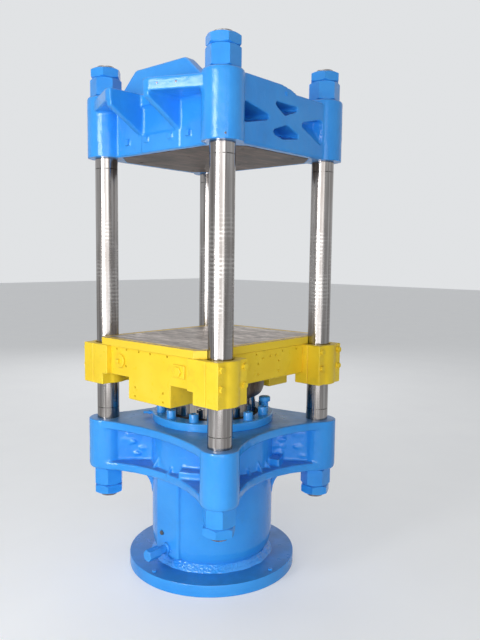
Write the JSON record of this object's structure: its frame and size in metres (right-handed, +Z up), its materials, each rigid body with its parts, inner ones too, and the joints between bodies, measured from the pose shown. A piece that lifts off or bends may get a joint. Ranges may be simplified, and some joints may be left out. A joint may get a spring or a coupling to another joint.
{
  "type": "hydraulic press",
  "caption": "Upright column-guided hydraulic press: blue cylinder base and head castings, ground steel columns and a yellow platen that rises on a ram.",
  "frame": {"origin": "centre of the round base flange's underside, on the floor", "axes": "+Z up along the ram, -Y to the front, where the two brackets and the two platen pins are, +X to the right side"},
  "size_m": [0.9676, 1.0023, 2.4536],
  "materials": {
    "blue": "gloss",
    "yellow": "gloss",
    "ground_steel": "ground and polished",
    "bare_plate": "streaked, with thin rust",
    "brown_iron": "oily",
    "bronze": "machined",
    "rubber": "matte"
  },
  "bodies": {
    "press_frame": {"base_flange": "blue", "foot_weld": "blue", "cylinder_casting": "blue", "supply_fitting": "blue", "gland_ring": "blue", "wiper_ring": "rubber", "ram_guide_bush": "bronze", "ram_packing_1": "rubber", "ram_packing_2": "rubber", "ram_packing_3": "rubber", "bleed_valve": "blue", "drain_nipple": "blue", "column_front_right": "ground_steel", "column_front_left": "ground_steel", "column_rear_right": "ground_steel", "column_rear_left": "ground_steel", "lower_nut_front_right": "blue", "lower_nut_front_left": "blue", "lower_nut_rear_right": "blue", "lower_nut_rear_left": "blue", "lower_jam_nut_front_right": "blue", "lower_jam_nut_front_left": "blue", "lower_jam_nut_rear_right": "blue", "lower_jam_nut_rear_left": "blue", "upper_nut_front_right": "blue", "upper_nut_front_left": "blue", "upper_nut_rear_right": "blue", "upper_nut_rear_left": "blue", "upper_jam_nut_front_right": "blue", "upper_jam_nut_front_left": "blue", "upper_jam_nut_rear_right": "blue", "upper_jam_nut_rear_left": "blue", "top_head": "blue", "head_face_plate": "bare_plate"},
    "rising_platen": {"ram": "ground_steel", "ram_retaining_ring": "brown_iron", "moving_platen": "yellow", "platen_top_plate": "bare_plate", "guide_block_front_right": "yellow", "guide_block_front_left": "yellow", "guide_block_rear_right": "yellow", "guide_block_rear_left": "yellow", "guide_cap_front_right": "yellow", "guide_cap_front_left": "yellow", "guide_cap_rear_right": "yellow", "guide_cap_rear_left": "yellow", "guide_bush_front_right": "bronze", "guide_bush_front_left": "bronze", "guide_bush_rear_right": "bronze", "guide_bush_rear_left": "bronze", "left_pin": "yellow", "right_pad": "yellow"}
  },
  "joints": [
    {"name": "platen_rise", "type": "slide", "parent": "press_frame", "child": "rising_platen", "axis": [0, 0, 1], "range_m": [0, 0.35]}
  ]
}
